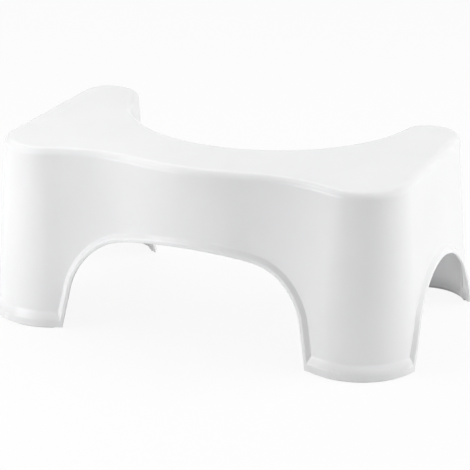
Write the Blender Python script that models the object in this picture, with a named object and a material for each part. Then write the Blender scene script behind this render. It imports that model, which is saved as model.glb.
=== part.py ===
"""Moulded toilet footstool: a one-piece drafted shell standing on four pressed-in grip strips.

The deck outline is a chain of tangent arcs: a belly in the middle of the front, a shallow
recess on each side of it, round front legs, nearly straight sides, round rear wings and the
deep bowl recess between them. The wall hangs from that outline with a draft, so it grows
towards the floor. A wide arch runs through from front to back and a lower one from side to
side. Along every free edge the wall flares out into a rim with a sloping shoulder, mitred where
the arches meet the feet. The rim is taller round the feet, whose soles hold the grip strips.

X runs to the right, Y to the back and Z up. The origin is on the floor under the middle.
"""

from math import atan2, cos, hypot, pi, radians, sin, sqrt, tan

import bmesh
import bpy
from mathutils import Vector

# Deck outline, measured where the wall would meet the deck without its edge rounding
HEIGHT = 0.170
DECK_LENGTH = 0.3938
DECK_DEPTH = 0.2158
DECK_WAIST = 0.0743
BELLY_RADIUS = 0.203
BELLY_SET_BACK = 0.0029
RECESS_RADIUS = 0.1387
LEG_RADIUS = 0.0438
SIDE_TAPER = 0.0022
REAR_CORNER_RADIUS = 0.0279
TIP_RADIUS = 0.0189
TIP_SET_BACK = 0.0024
BOWL_RADIUS = 0.1414

# Walls of the moulding
DRAFT = radians(4.2)
WALL = 0.0025
DECK = 0.003
DECK_EDGE_RADIUS = 0.0065
INNER_EDGE_RADIUS = 0.004

# Arch from front to back, with sizes on the floor and at its crown
FRONT_ARCH_WIDTH = 0.2412
FRONT_ARCH_HEIGHT = 0.098
FRONT_ARCH_LEAN = radians(10.4)
FRONT_ARCH_CORNER_RADIUS = 0.0635
FRONT_ARCH_CORNER_DROP = 0.0061

# Arch from side to side, reaching further on the floor behind its crown than in front of it
SIDE_ARCH_CROWN_PLACE = 0.0056
SIDE_ARCH_HEIGHT = 0.0777
SIDE_ARCH_CORNER_RADIUS = 0.029
SIDE_ARCH_CORNER_DROP = 0.0188
SIDE_ARCH_FRONT_REACH = 0.0858
SIDE_ARCH_FRONT_LEAN = radians(23.6)
SIDE_ARCH_REAR_REACH = 0.0904
SIDE_ARCH_REAR_LEAN = radians(28.6)

# Height over which the two arches blend on the bowl wall
ARCH_BLEND = 0.016

# Flared rim along the free edges of the wall: a flat band at the edge, then a sloping shoulder
RIM_RISE = 0.00385
ARCH_BAND = 0.0036
ARCH_SHOULDER = 0.0034
FOOT_BAND = 0.0069
FOOT_SHOULDER = 0.0072
EDGE_EASE = 0.0007

# Stiffening ribs under the deck
RIB_DEPTH = 0.014
RIB_ROOT = 0.002
RIB_EDGE = 0.0015
RIB_PITCH = 0.034

# Grip strips, and the channel in each foot that holds one between the wall and an inner lip
SOLE_LEVEL = 0.0012
STRIP_WIDTH = 0.0027
STRIP_EASE = 0.0004
CHANNEL_DEPTH = 0.008
CHANNEL_WALL = 0.0024
CHANNEL_LIP = 0.0015
CHANNEL_END = 0.006
CHANNEL_END_WALL = 0.0018
LIP_RAISE = 0.0015
FIT_GAP = 0.0003
CUT_OVERRUN = 0.002

# Limits for joining mirrored points and for marking a crease as sharp
MERGE_DISTANCE = 0.00001
CREASE = radians(28)

# Facet counts
CROWN_STEPS = 6
FRONT_CORNER_STEPS = 9
SIDE_CORNER_STEPS = 4
LEAN_STEPS = 2
FOOT_STEPS = 16
REAR_STEPS = 18
EDGE_STEPS = 4
INNER_EDGE_STEPS = 2
STRIP_STEPS = 22
PLUG_STEPS = 48
SOLVE_ROUNDS = 50


class Arc:
    """Round stretch of the outline, turning left (a bulge) or right (a hollow)."""

    def __init__(self, centre, radius, start, end):
        self.centre = centre
        self.radius = radius
        self.start = start
        self.turn = end - start
        self.side = 1 if self.turn > 0 else -1
        self.length = radius * abs(self.turn)

    def frame(self, along):
        """Return the point and the outward normal at a length along the arc."""
        angle = self.start + self.turn * along / self.length
        ray = Vector((cos(angle), sin(angle)))
        return self.centre + ray * self.radius, ray * self.side


class Straight:
    """Straight stretch of the outline."""

    def __init__(self, start, end):
        self.start = start
        self.tangent = (end - start).normalized()
        self.length = (end - start).length
        self.turn = 0

    def frame(self, along):
        """Return the point and the outward normal at a length along the line."""
        return self.start + self.tangent * along, Vector((self.tangent.y, -self.tangent.x))


def angle_of(vector):
    """Direction of a plan vector."""
    return atan2(vector.y, vector.x)


def unwrap(angle, above):
    """Angle brought to the first turn above a given one."""
    while angle < above:
        angle += 2 * pi
    return angle


def bridge_direction(first, first_radius, second, second_radius):
    """Normal direction of the outer tangent line from one bulge to the next."""
    step = second - first
    swing = (first_radius - second_radius) / step.length
    return angle_of(step) - pi / 2 + atan2(swing, sqrt(1 - swing * swing))


def hollow_centre(first, first_radius, second, second_radius, radius):
    """Centre of a hollow arc that touches two bulges from outside, on their right."""
    near = first_radius + radius
    far = second_radius + radius
    step = second - first
    along = (near * near - far * far + step.length_squared) / (2 * step.length)
    aside = sqrt(near * near - along * along)
    ahead = step.normalized()
    return first + ahead * along + Vector((ahead.y, -ahead.x)) * aside


def half_outline():
    """Right half of the deck outline, from the front centre round to the bowl centre."""
    front = -DECK_DEPTH / 2
    belly_front = front + BELLY_SET_BACK
    belly = Vector((0, belly_front + BELLY_RADIUS))
    leg = Vector((DECK_LENGTH / 2 - LEG_RADIUS, front + LEG_RADIUS))
    recess = hollow_centre(belly, BELLY_RADIUS, leg, LEG_RADIUS, RECESS_RADIUS)
    rear = Vector((DECK_LENGTH / 2 - SIDE_TAPER, DECK_DEPTH / 2))
    rear -= Vector((REAR_CORNER_RADIUS, REAR_CORNER_RADIUS))
    bowl = Vector((0, belly_front + DECK_WAIST + BOWL_RADIUS))
    tip_y = DECK_DEPTH / 2 - TIP_SET_BACK - TIP_RADIUS
    tip = Vector((sqrt((BOWL_RADIUS + TIP_RADIUS) ** 2 - (tip_y - bowl.y) ** 2), tip_y))

    belly_end = angle_of(recess - belly)
    hollow_start = unwrap(angle_of(belly - recess), 0)
    hollow_end = angle_of(leg - recess)
    leg_start = angle_of(recess - leg)
    side = bridge_direction(leg, LEG_RADIUS, rear, REAR_CORNER_RADIUS)
    back = unwrap(bridge_direction(rear, REAR_CORNER_RADIUS, tip, TIP_RADIUS), side)
    tip_end = unwrap(angle_of(bowl - tip), back)
    bowl_start = angle_of(tip - bowl)

    leg_arc = Arc(leg, LEG_RADIUS, leg_start, side)
    rear_arc = Arc(rear, REAR_CORNER_RADIUS, side, back)
    tip_arc = Arc(tip, TIP_RADIUS, back, tip_end)
    side_line = Straight(leg_arc.frame(leg_arc.length)[0], rear_arc.frame(0)[0])
    back_line = Straight(rear_arc.frame(rear_arc.length)[0], tip_arc.frame(0)[0])
    return [
        Arc(belly, BELLY_RADIUS, -pi / 2, belly_end),
        Arc(recess, RECESS_RADIUS, hollow_start, hollow_end),
        leg_arc,
        side_line,
        rear_arc,
        back_line,
        tip_arc,
        Arc(bowl, BOWL_RADIUS, bowl_start, -pi / 2),
    ]


OUTLINE = half_outline()
OUTLINE_LENGTH = sum(piece.length for piece in OUTLINE)
SIDE_START = sum(piece.length for piece in OUTLINE[:3])
BACK_START = sum(piece.length for piece in OUTLINE[:5])


def outline_frame(along):
    """Point and outward normal of the deck outline at a length along it."""
    for piece in OUTLINE[:-1]:
        if along <= piece.length:
            return piece.frame(along)
        along -= piece.length
    return OUTLINE[-1].frame(along)


def outline_turn(along):
    """Angle through which the outline has turned at a length along it."""
    turned = 0
    for piece in OUTLINE:
        if along <= piece.length:
            return turned + piece.turn * along / piece.length
        turned += piece.turn
        along -= piece.length
    return turned


def wall_reach(level, rise):
    """How far the drafted wall stands outside the deck outline at a height."""
    return (HEIGHT - level) * tan(DRAFT) + rise


def wall_point(along, level, rise):
    """Point of the wall at a length along the outline, pushed out by a rise."""
    point, normal = outline_frame(along)
    point = point + normal * wall_reach(level, rise)
    return Vector((point.x, point.y, level))


def wall_run(along, level, rise):
    """Real length along the wall at a height, from the front centre."""
    return along + wall_reach(level, rise) * outline_turn(along)


def solve(function, low, high):
    """Place between two others where a rising or falling function is zero."""
    rises = function(high) > function(low)
    for _ in range(SOLVE_ROUNDS):
        middle = (low + high) / 2
        if (function(middle) > 0) == rises:
            high = middle
        else:
            low = middle
    return (low + high) / 2


class HalfArch:
    """One side of an arch: a crown arc, a corner arc and a leaning leg line to the floor."""

    def __init__(self, reach, height, lean, corner_radius, corner_drop):
        self.reach = reach
        self.lean = lean
        self.corner_radius = corner_radius
        level = height - corner_drop - corner_radius
        aside = self.leg_point(level).x - corner_radius / cos(lean)
        self.corner_centre = Vector((aside, level))
        spread = aside ** 2 + corner_drop ** 2
        self.crown_radius = corner_radius + spread / (2 * corner_drop)
        self.crown_centre = Vector((0, height - self.crown_radius))
        self.corner_end = angle_of(self.corner_centre - self.crown_centre)
        self.lean_top = level + corner_radius * sin(lean)

    def level(self, aside):
        """Height of the arch at a distance from its crown, falling below the floor beyond it."""
        aside = abs(aside)
        shoulder = self.corner_centre.x + self.corner_radius * cos(self.corner_end)
        if aside <= shoulder:
            return self.crown_centre.y + sqrt(self.crown_radius ** 2 - aside * aside)
        off = aside - self.corner_centre.x
        if off < self.corner_radius * cos(self.lean):
            return self.corner_centre.y + sqrt(self.corner_radius ** 2 - off * off)
        return (self.reach - aside) / tan(self.lean)

    def leg_point(self, level):
        """Point of the leg line at a height."""
        return Vector((self.reach - level * tan(self.lean), level))

    def points(self, corner_steps):
        """Points from the crown down to the sole."""
        result = []
        for step in range(CROWN_STEPS):
            angle = pi / 2 + (self.corner_end - pi / 2) * step / CROWN_STEPS
            ray = Vector((cos(angle), sin(angle)))
            result.append(self.crown_centre + ray * self.crown_radius)
        for step in range(corner_steps):
            angle = self.corner_end + (self.lean - self.corner_end) * step / corner_steps
            ray = Vector((cos(angle), sin(angle)))
            result.append(self.corner_centre + ray * self.corner_radius)
        for step in range(LEAN_STEPS + 1):
            level = self.lean_top + (FOOT_TOP - self.lean_top) * step / LEAN_STEPS
            result.append(self.leg_point(level))
        result.append(self.leg_point(SOLE_LEVEL))
        return result


FOOT_TOP = SOLE_LEVEL + FOOT_BAND + FOOT_SHOULDER + ARCH_BAND
FRONT_ARCH = HalfArch(
    FRONT_ARCH_WIDTH / 2,
    FRONT_ARCH_HEIGHT,
    FRONT_ARCH_LEAN,
    FRONT_ARCH_CORNER_RADIUS,
    FRONT_ARCH_CORNER_DROP,
)
SIDE_ARCH_FRONT = HalfArch(
    SIDE_ARCH_FRONT_REACH,
    SIDE_ARCH_HEIGHT,
    SIDE_ARCH_FRONT_LEAN,
    SIDE_ARCH_CORNER_RADIUS,
    SIDE_ARCH_CORNER_DROP,
)
SIDE_ARCH_REAR = HalfArch(
    SIDE_ARCH_REAR_REACH,
    SIDE_ARCH_HEIGHT,
    SIDE_ARCH_REAR_LEAN,
    SIDE_ARCH_CORNER_RADIUS,
    SIDE_ARCH_CORNER_DROP,
)


def blended_level(point):
    """Lower edge of the bowl wall: the higher of the two arches, with a smooth change."""
    past_crown = point.y - SIDE_ARCH_CROWN_PLACE
    side = (SIDE_ARCH_REAR if past_crown > 0 else SIDE_ARCH_FRONT).level(past_crown)
    front = FRONT_ARCH.level(point.x)
    blend = max(ARCH_BLEND - abs(side - front), 0) / ARCH_BLEND
    return max(side, front) + blend * blend * ARCH_BLEND / 4


def front_edge():
    """Free edge of the front wall from its centre to the front foot, square to the wall."""
    edge = []
    for aside, level in FRONT_ARCH.points(FRONT_CORNER_STEPS):
        along = solve(lambda a: wall_point(a, level, RIM_RISE).x - aside, 0, SIDE_START)
        edge.append((along, level))
    edge[0] = (0, edge[0][1])
    return edge


def side_edge(rise):
    """Free edge of the side wall from the front foot over the crown to the rear foot."""
    ahead = SIDE_ARCH_FRONT.points(SIDE_CORNER_STEPS)
    behind = SIDE_ARCH_REAR.points(SIDE_CORNER_STEPS)
    profile = [(-aside, level) for aside, level in reversed(ahead)] + behind[1:]
    front = solve(lambda a: wall_point(a, 0, 0).x - FRONT_ARCH.reach, 0, SIDE_START)
    edge = []
    for aside, level in profile:
        place = SIDE_ARCH_CROWN_PLACE + aside
        along = solve(lambda a: wall_point(a, level, rise).y - place, front, BACK_START)
        edge.append((along, level))
    return edge


def rear_edge(rise):
    """Free edge of the bowl wall from the rear foot up to its centre."""
    edge = []
    for level in (SOLE_LEVEL, FOOT_TOP):
        place = SIDE_ARCH_CROWN_PLACE + SIDE_ARCH_REAR.leg_point(level).x
        along = solve(lambda a: wall_point(a, level, rise).y - place, BACK_START, OUTLINE_LENGTH)
        edge.append((along, level))
    first = edge[-1][0]
    for step in range(1, REAR_STEPS + 1):
        share = step / REAR_STEPS
        along = first + (OUTLINE_LENGTH - first) * share * (1 + share) / 2
        level = solve(lambda z: blended_level(wall_point(along, z, rise)) - z, 0, HEIGHT)
        edge.append((along, level))
    edge[-1] = (OUTLINE_LENGTH, edge[-1][1])
    return edge


def edge_direction(edge, index, rise):
    """Unit direction of a free edge on the wall surface, as lengths along and up."""
    level = edge[index][1]
    before = edge[max(index - 1, 0)]
    after = edge[min(index + 1, len(edge) - 1)]
    along = wall_run(after[0], level, rise) - wall_run(before[0], level, rise)
    up = after[1] - before[1]
    size = hypot(along, up)
    return along / size, up / size


def moved(point, along, up, rise):
    """Point of the wall surface moved by real lengths along and up."""
    level = point[1] + up
    goal = wall_run(point[0], level, rise) + along
    return solve(lambda a: wall_run(a, level, rise) - goal, 0, OUTLINE_LENGTH), level


def offset_edge(edge, width, mitres, rise):
    """Free edge moved into the wall by a width, with its foot ends mitred to a foot level."""
    result = []
    for index, point in enumerate(edge):
        along, up = edge_direction(edge, index, rise)
        if index in mitres:
            slide = (mitres[index] - point[1] - along * width) / up
            result.append(moved(point, along * slide - up * width, mitres[index] - point[1], rise))
        elif point[0] in (0, OUTLINE_LENGTH):
            result.append((point[0], point[1] + width))
        else:
            result.append(moved(point, -up * width, along * width, rise))
    return result


def foot_between(start, end, rise):
    """Points of a foot between two free edges, the outer ones at the ends of its channel."""
    first = moved(start, CHANNEL_END, 0, rise)
    last = moved(end, -CHANNEL_END, 0, rise)
    result = []
    for step in range(FOOT_STEPS + 1):
        share = step / FOOT_STEPS
        result.append((first[0] + (last[0] - first[0]) * share, start[1]))
    return result


def contour(rise, width, foot_level):
    """Run of the wall's free edge, offset into the wall, over the right half."""
    front = front_edge()
    side = side_edge(rise)
    rear = rear_edge(rise)
    if width:
        front = offset_edge(front, width, {len(front) - 1: foot_level}, rise)
        side = offset_edge(side, width, {0: foot_level, len(side) - 1: foot_level}, rise)
        rear = offset_edge(rear, width, {0: foot_level}, rise)
    front_foot = foot_between(front[-1], side[0], rise)
    rear_foot = foot_between(side[-1], rear[0], rise)
    return front + front_foot + side + rear_foot + rear


def channel_places():
    """Places in a contour that belong to the channelled part of a foot."""
    front = len(front_edge())
    side = len(side_edge(0))
    foot = FOOT_STEPS + 1
    rear_foot = front + foot + side
    return set(range(front, front + foot)) | set(range(rear_foot, rear_foot + foot))


def edge_rounding(radius, top, rise, steps):
    """Section points of a rounded wall edge under a level, as pairs of rise and level."""
    centre_rise = rise + (radius - radius * sin(DRAFT)) * tan(DRAFT) - radius * cos(DRAFT)
    section = []
    for step in range(steps + 1):
        angle = DRAFT + (pi / 2 - DRAFT) * step / steps
        level = top - radius + radius * sin(angle)
        section.append((centre_rise + radius * cos(angle) - (top - level) * tan(DRAFT), level))
    return section


def wall_ring(places, rise):
    """Points of the wall at the places of a contour, all pushed out by one rise."""
    return [wall_point(along, level, rise) for along, level in places]


def channel_ring(places, rise, lift):
    """Inner ring of the rim that steps inwards to the channel's lip, lifted by a height there."""
    lip = RIM_RISE - CHANNEL_WALL - STRIP_WIDTH - FIT_GAP * 2 - CHANNEL_LIP
    inside = channel_places()
    ring = []
    for place, (along, level) in enumerate(places):
        if place in inside:
            ring.append(wall_point(along, level + lift, lip))
        else:
            ring.append(wall_point(along, level, rise))
    return ring


def shell_mesh():
    """Right half of the shell as rings of points from its free edge over the deck and back."""
    foot_band = SOLE_LEVEL + FOOT_BAND
    foot_shoulder = foot_band + FOOT_SHOULDER
    rim = ARCH_BAND + ARCH_SHOULDER
    shoulder = contour(RIM_RISE, rim, foot_shoulder)
    rings = [
        wall_ring(contour(RIM_RISE, 0, SOLE_LEVEL), RIM_RISE - EDGE_EASE),
        wall_ring(contour(RIM_RISE, EDGE_EASE, SOLE_LEVEL + EDGE_EASE), RIM_RISE),
        wall_ring(contour(RIM_RISE, ARCH_BAND, foot_band), RIM_RISE),
        wall_ring(shoulder, 0),
    ]
    for rise, level in edge_rounding(DECK_EDGE_RADIUS, HEIGHT, 0, EDGE_STEPS):
        rings.append([wall_point(along, level, rise) for along, _ in shoulder])
    deck_ring = len(rings) - 1
    inner = RIM_RISE - WALL
    inner_shoulder = contour(inner, rim, foot_shoulder)
    ceiling = HEIGHT - DECK
    for rise, level in reversed(edge_rounding(INNER_EDGE_RADIUS, ceiling, -WALL, INNER_EDGE_STEPS)):
        rings.append([wall_point(along, level, rise) for along, _ in inner_shoulder])
    rings.append(wall_ring(inner_shoulder, -WALL))
    rings.append(channel_ring(contour(inner, ARCH_BAND, foot_band), inner, 0))
    rings.append(channel_ring(contour(inner, 0, SOLE_LEVEL), inner, LIP_RAISE))

    mesh = bmesh.new()
    rows = [[mesh.verts.new(point) for point in ring] for ring in rings]
    for index, row in enumerate(rows):
        if index == deck_ring:
            continue
        above = rows[(index + 1) % len(rows)]
        for place in range(len(row) - 1):
            mesh.faces.new((row[place], row[place + 1], above[place + 1], above[place]))
    mesh.faces.new(rows[deck_ring])
    mesh.faces.new(list(reversed(rows[deck_ring + 1])))
    return mesh


def make_object(name, mesh, material=None, helper=False):
    """Turn a bmesh into a named object, smooth with sharp creases, or into a hidden helper."""
    data = bpy.data.meshes.new(name)
    mesh.to_mesh(data)
    mesh.free()
    item = bpy.data.objects.new(name, data)
    bpy.context.scene.collection.objects.link(item)
    if helper:
        item.hide_render = True
        item.display_type = "WIRE"
        return item
    data.materials.append(material)
    data.shade_smooth()
    data.set_sharp_from_angle(angle=CREASE)
    return item


def plastic(name, colour, roughness):
    """Principled material with a colour and a roughness."""
    material = bpy.data.materials.new(name)
    material.use_nodes = True
    shader = material.node_tree.nodes["Principled BSDF"]
    shader.inputs["Base Color"].default_value = (*colour, 1)
    shader.inputs["Roughness"].default_value = roughness
    shader.inputs["Metallic"].default_value = 0
    return material


def combine(item, operation, other):
    """Add a Boolean modifier with the exact solver."""
    modifier = item.modifiers.new(f"{operation.lower()} {other.name}", "BOOLEAN")
    modifier.operation = operation
    modifier.solver = "EXACT"
    modifier.object = other
    return modifier


def rib_plug():
    """Body of the space under the deck, reaching into the middle of the walls and the deck."""
    sections = (
        (HEIGHT - DECK - RIB_DEPTH, -WALL / 2),
        (HEIGHT - DECK_EDGE_RADIUS, -WALL / 2),
        (HEIGHT - DECK / 2, -DECK_EDGE_RADIUS),
    )
    places = [OUTLINE_LENGTH * step / PLUG_STEPS for step in range(PLUG_STEPS + 1)]
    mesh = bmesh.new()
    rows = []
    for level, rise in sections:
        right = [wall_point(along, level, rise) for along in places]
        left = [Vector((-point.x, point.y, point.z)) for point in reversed(right[1:-1])]
        rows.append([mesh.verts.new(point) for point in right + left])
    for row, above in zip(rows, rows[1:]):
        for place in range(len(row)):
            after = (place + 1) % len(row)
            mesh.faces.new((row[place], row[after], above[after], above[place]))
    mesh.faces.new(list(reversed(rows[0])))
    mesh.faces.new(rows[-1])
    return make_object("rib_plug", mesh, helper=True)


def rib_bar(mesh, middle, direction, half_length):
    """Tapered rib, thinner at its lower edge, added to a mesh."""
    across = Vector((-direction.y, direction.x, 0))
    along = direction.to_3d() * half_length
    low = Vector((0, 0, HEIGHT - DECK - RIB_DEPTH - CUT_OVERRUN))
    high = Vector((0, 0, HEIGHT))
    corners = []
    for end in (-along, along):
        for level, width in ((low, RIB_EDGE), (high, RIB_ROOT)):
            for side in (-1, 1):
                point = middle.to_3d() + end + level + across * (side * width / 2)
                corners.append(mesh.verts.new(point))
    for face in ((0, 1, 3, 2), (4, 6, 7, 5), (0, 4, 5, 1), (2, 3, 7, 6), (0, 2, 6, 4), (1, 5, 7, 3)):
        mesh.faces.new([corners[index] for index in face])


def rib_set(name, direction, places, half_length, plug):
    """Parallel ribs at places across their direction, cut to the space under the deck."""
    mesh = bmesh.new()
    aside = Vector((-direction.y, direction.x))
    for place in places:
        rib_bar(mesh, aside * place, direction, half_length)
    bmesh.ops.recalc_face_normals(mesh, faces=mesh.faces)
    ribs = make_object(name, mesh, helper=True)
    combine(ribs, "INTERSECT", plug)
    return ribs


def rib_places(extent, first):
    """Places at the rib pitch on both sides of the middle, out from a first place."""
    places = []
    place = first
    while place < extent:
        places += [place, -place] if place else [place]
        place += RIB_PITCH
    return places


def swept_bar(mesh, section, start, end, side):
    """Closed bar with a section of rise and level pairs, along a foot, on one side of the stool."""
    rows = []
    for step in range(STRIP_STEPS + 1):
        along = start + (end - start) * step / STRIP_STEPS
        ring = []
        for rise, level in section:
            point = wall_point(along, 0, rise)
            ring.append(mesh.verts.new((point.x * side, point.y, level)))
        rows.append(ring)
    for row, after in zip(rows, rows[1:]):
        for index in range(len(section)):
            following = (index + 1) % len(section)
            mesh.faces.new((row[index], row[following], after[following], after[index]))
    mesh.faces.new(rows[0])
    mesh.faces.new(rows[-1])
    bmesh.ops.recalc_face_normals(mesh, faces=mesh.faces)


def strip_runs():
    """Outline lengths between which the channel of each foot runs, for front and rear feet."""
    places = contour(RIM_RISE, 0, SOLE_LEVEL)
    front = len(front_edge())
    rear = front + FOOT_STEPS + 1 + len(side_edge(0))
    runs = {}
    for name, first in (("front", front), ("rear", rear)):
        start = moved(places[first], CHANNEL_END_WALL, 0, RIM_RISE)[0]
        end = moved(places[first + FOOT_STEPS], -CHANNEL_END_WALL, 0, RIM_RISE)[0]
        runs[name] = start, end
    return runs


def channel_cutters(runs):
    """Cutter with the four channels, open at the sole."""
    outer = RIM_RISE - CHANNEL_WALL
    inner = outer - STRIP_WIDTH - FIT_GAP * 2
    low = SOLE_LEVEL - CUT_OVERRUN
    high = SOLE_LEVEL + CHANNEL_DEPTH
    section = [(inner, low), (outer, low), (outer, high), (inner, high)]
    mesh = bmesh.new()
    for start, end in runs.values():
        for side in (-1, 1):
            swept_bar(mesh, section, start, end, side)
    return make_object("channel_cutters", mesh, helper=True)


def grip_strip(name, run, side, material):
    """Strip that fills a channel and stands out of it under the sole, with eased lower edges."""
    outer = RIM_RISE - CHANNEL_WALL - FIT_GAP
    inner = outer - STRIP_WIDTH
    high = SOLE_LEVEL + CHANNEL_DEPTH - FIT_GAP
    section = [
        (inner + STRIP_EASE, 0),
        (outer - STRIP_EASE, 0),
        (outer, STRIP_EASE),
        (outer, high),
        (inner, high),
        (inner, STRIP_EASE),
    ]
    start = moved((run[0], 0), FIT_GAP, 0, RIM_RISE)[0]
    end = moved((run[1], 0), -FIT_GAP, 0, RIM_RISE)[0]
    mesh = bmesh.new()
    swept_bar(mesh, section, start, end, side)
    make_object(name, mesh, material)


def main():
    """Build the shell and its four grip strips."""
    for item in list(bpy.data.objects):
        bpy.data.objects.remove(item, do_unlink=True)

    white = plastic("white polypropylene", (0.86, 0.86, 0.87), 0.18)
    rubber = plastic("grip rubber", (0.70, 0.70, 0.71), 0.6)
    shell = make_object("shell", shell_mesh(), white)
    mirror = shell.modifiers.new("mirror left half", "MIRROR")
    mirror.use_mirror_merge = True
    mirror.merge_threshold = MERGE_DISTANCE

    plug = rib_plug()
    half_length = DECK_LENGTH / 2
    half_depth = DECK_DEPTH / 2
    lengthwise = rib_places(half_depth, RIB_PITCH / 2)
    crosswise = rib_places(half_length, 0)
    combine(shell, "UNION", rib_set("ribs_lengthwise", Vector((1, 0)), lengthwise, half_length, plug))
    combine(shell, "UNION", rib_set("ribs_crosswise", Vector((0, 1)), crosswise, half_depth, plug))

    runs = strip_runs()
    combine(shell, "DIFFERENCE", channel_cutters(runs))
    for foot, run in runs.items():
        for name, side in (("left", -1), ("right", 1)):
            grip_strip(f"{foot}_{name}_grip_strip", run, side, rubber)


main()
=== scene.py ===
"""Looks of a moulded toilet footstool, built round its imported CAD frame.

The stool is one glossy white polypropylene moulding on four rubber grip strips. Its wall hangs
from the deck outline with a draft, two arches run through it, and its free edge flares out into
a rim with a sloping shoulder. Sizes are in metres; X is right, Y back and Z up.
"""

from __future__ import annotations

import logging
from collections.abc import Callable, Sequence
from dataclasses import dataclass, field
from enum import Enum
from math import atan2, cos, hypot, pi, radians, sin, sqrt, tan

import bpy
import numpy as np
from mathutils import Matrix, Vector


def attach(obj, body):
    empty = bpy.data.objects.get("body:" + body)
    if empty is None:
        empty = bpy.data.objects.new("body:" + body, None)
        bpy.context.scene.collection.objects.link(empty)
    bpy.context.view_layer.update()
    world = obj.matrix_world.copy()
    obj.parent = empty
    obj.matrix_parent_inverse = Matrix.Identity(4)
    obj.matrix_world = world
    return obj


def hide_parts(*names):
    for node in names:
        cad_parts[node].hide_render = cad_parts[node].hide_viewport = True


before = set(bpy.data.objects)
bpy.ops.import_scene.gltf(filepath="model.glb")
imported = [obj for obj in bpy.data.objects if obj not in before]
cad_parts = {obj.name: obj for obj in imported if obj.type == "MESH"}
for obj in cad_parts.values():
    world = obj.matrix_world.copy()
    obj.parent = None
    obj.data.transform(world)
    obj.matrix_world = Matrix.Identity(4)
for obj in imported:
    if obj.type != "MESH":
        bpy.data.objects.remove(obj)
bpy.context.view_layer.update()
LOG = logging.getLogger("footstool")
WHITE = (1, 1, 1, 1)

# Width of the photograph in pixels, and of the camera's sensor in millimetres
PHOTO_WIDTH = 470
SENSOR_WIDTH = 36.0

# Halvings that take a search to its last digit, and the least value that marks the channel
HALVINGS = 44
GROOVED = 0.4

Amount = np.ndarray | float
Colour = tuple[float, float, float, float]
Span = tuple[float, float]

# Places on the wall: lengths along the deck outline, and levels
Places = tuple[np.ndarray, np.ndarray]


class Value:
    """Output socket of a node that can stand in plain sums."""

    def __init__(self, tree: Tree, socket: bpy.types.NodeSocket) -> None:
        """Keep the socket and the tree that it belongs to."""
        self.tree = tree
        self.socket = socket

    def __add__(self, other: Value | float) -> Value:
        """Sum."""
        return self.tree.maths("ADD", self, other)

    def __sub__(self, other: Value | float) -> Value:
        """Difference."""
        return self.tree.maths("SUBTRACT", self, other)

    def __mul__(self, other: Value | float) -> Value:
        """Product."""
        return self.tree.maths("MULTIPLY", self, other)

    def __rsub__(self, other: float) -> Value:
        """Difference from a number."""
        return self.tree.maths("SUBTRACT", other, self)

    __radd__ = __add__
    __rmul__ = __mul__


class Tree:
    """Shader or Geometry Nodes tree, with one method that adds any node."""

    def __init__(self, nodes: bpy.types.NodeTree) -> None:
        """Keep the tree that the nodes go to."""
        self.nodes = nodes

    def add(
        self,
        kind: str,
        settings: dict[str, object] | None = None,
        inputs: dict[str | int, object] | None = None,
    ) -> bpy.types.Node:
        """Add a node, first its settings and then its sockets.

        Args:
            kind: Blender's name of the node type.
            settings: Properties of the node, such as a Math node's operation.
            inputs: Plain values or links, by socket name or number; a list links them all.

        Returns:
            The new node.
        """
        node = self.nodes.nodes.new(kind)
        for name, value in (settings or {}).items():
            setattr(node, name, value)
        for name, value in (inputs or {}).items():
            socket = node.inputs[name]
            for item in value if isinstance(value, list) else [value]:
                if isinstance(item, Value):
                    self.nodes.links.new(item.socket, socket)
                else:
                    socket.default_value = item
        return node

    def out(self, node: bpy.types.Node, name: str | int = 0) -> Value:
        """Output of a node, ready for sums."""
        return Value(self, node.outputs[name])

    def made(self, *node: object, name: str | int = 0) -> Value:
        """Output of a node that is added as above."""
        return self.out(self.add(*node), name)

    def maths(self, operation: str, first: Value | float, second: Value | float = 0.0) -> Value:
        """Math node on one or two values."""
        return self.made("ShaderNodeMath", {"operation": operation}, {0: first, 1: second})

    def scaled(self, vector: Value, factor: Value) -> Value:
        """Vector times a number."""
        inputs = {0: vector, "Scale": factor}
        return self.made("ShaderNodeVectorMath", {"operation": "SCALE"}, inputs)

    def plus(self, first: Value, second: Value) -> Value:
        """Sum of two vectors."""
        return self.made("ShaderNodeVectorMath", {"operation": "ADD"}, {0: first, 1: second})

    def noise(self, place: Value, cells: float, detail: float) -> Value:
        """Grey noise with so many cells a metre."""
        inputs = {"Vector": place, "Scale": cells, "Detail": detail}
        return self.made("ShaderNodeTexNoise", {"noise_dimensions": "3D"}, inputs)

    def ramp(self, value: Value, low: float, high: float) -> Value:
        """Smooth step from 0 at a low value to 1 at a high one."""
        inputs = {"Value": value, "From Min": low, "From Max": high}
        return self.made("ShaderNodeMapRange", {"interpolation_type": "SMOOTHSTEP"}, inputs)

    def blend(self, share: Value, first: object, second: object) -> Value:
        """Colour between two others, by the numbers of the Mix node's colour sockets."""
        inputs = {0: share, 6: first, 7: second}
        return self.made("ShaderNodeMix", {"data_type": "RGBA"}, inputs, name=2)

    def mixed(self, share: Value, first: Value, second: Value) -> Value:
        """Shader between two others."""
        return self.made("ShaderNodeMixShader", None, {0: share, 1: first, 2: second})

    def bump(self, height: Value, strength: float, depth: float) -> Value:
        """Normal of a surface with small heights and hollows."""
        inputs = {"Strength": strength, "Distance": depth, "Height": height}
        return self.made("ShaderNodeBump", None, inputs)

    def point(self, **parts: Value) -> Value:
        """Vector from its parts, by axis."""
        return self.made("ShaderNodeCombineXYZ", None, parts)

    def ray(self, kind: str) -> Value:
        """One on the rays of a kind, and nought on the others."""
        return self.made("ShaderNodeLightPath", name=kind)

    def seen(self) -> Value:
        """One on the rays that show what they meet: straight, mirrored or through glass."""
        seen = self.maths("MAXIMUM", self.ray("Is Camera Ray"), self.ray("Is Glossy Ray"))
        return self.maths("MAXIMUM", seen, self.ray("Is Transmission Ray"))


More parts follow.
